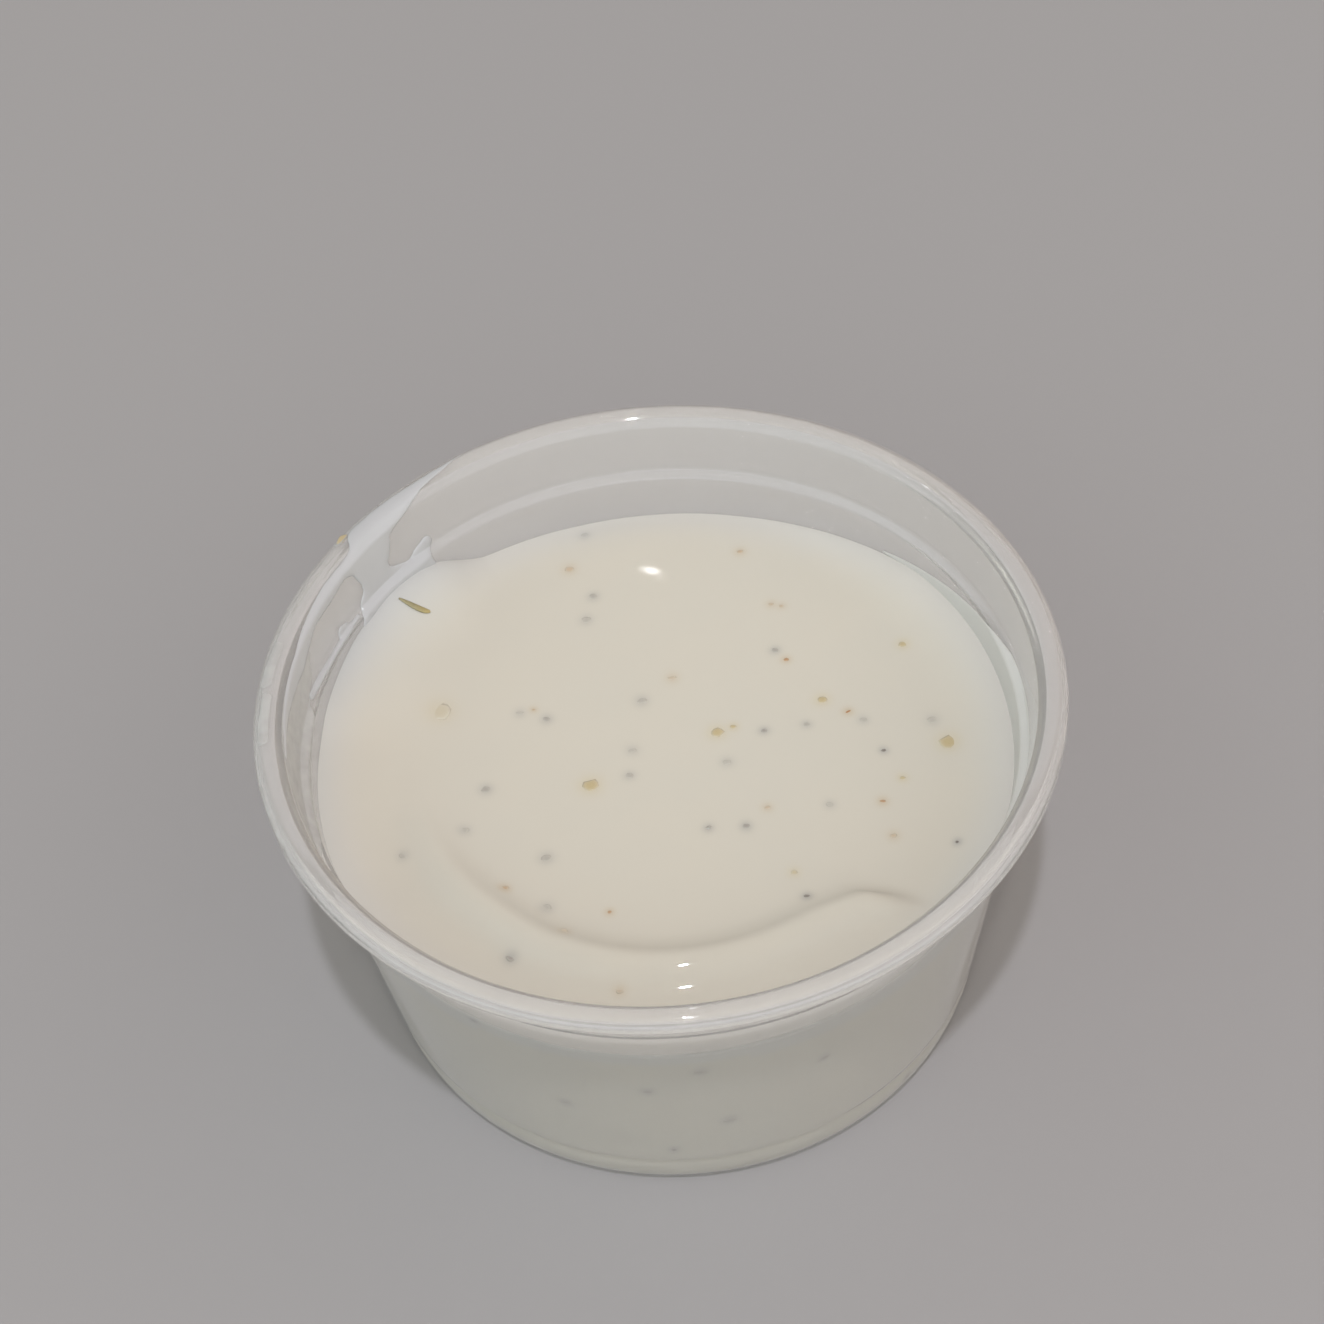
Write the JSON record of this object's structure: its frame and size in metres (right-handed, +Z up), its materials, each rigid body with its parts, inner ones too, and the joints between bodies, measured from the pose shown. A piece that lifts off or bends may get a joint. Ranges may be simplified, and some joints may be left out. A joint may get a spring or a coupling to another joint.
{
  "type": "dressing portion cup",
  "caption": "Round clear plastic portion cup with a lid rim and stacking ledge, filled with creamy herb dressing up to the ledge.",
  "frame": {"origin": "middle of the base, on the surface that the cup stands on", "axes": "+Z up; -Y towards the side where the poured ridge of dressing lies; +X to the right seen from there"},
  "size_m": [0.0621, 0.062, 0.0317],
  "materials": {
    "clear_plastic": "clear glossy thermoformed",
    "cream_dressing": "wet cream with fine herb and pepper specks"
  },
  "bodies": {
    "root": {"cup": "clear_plastic", "dressing": "cream_dressing"}
  },
  "joints": []
}
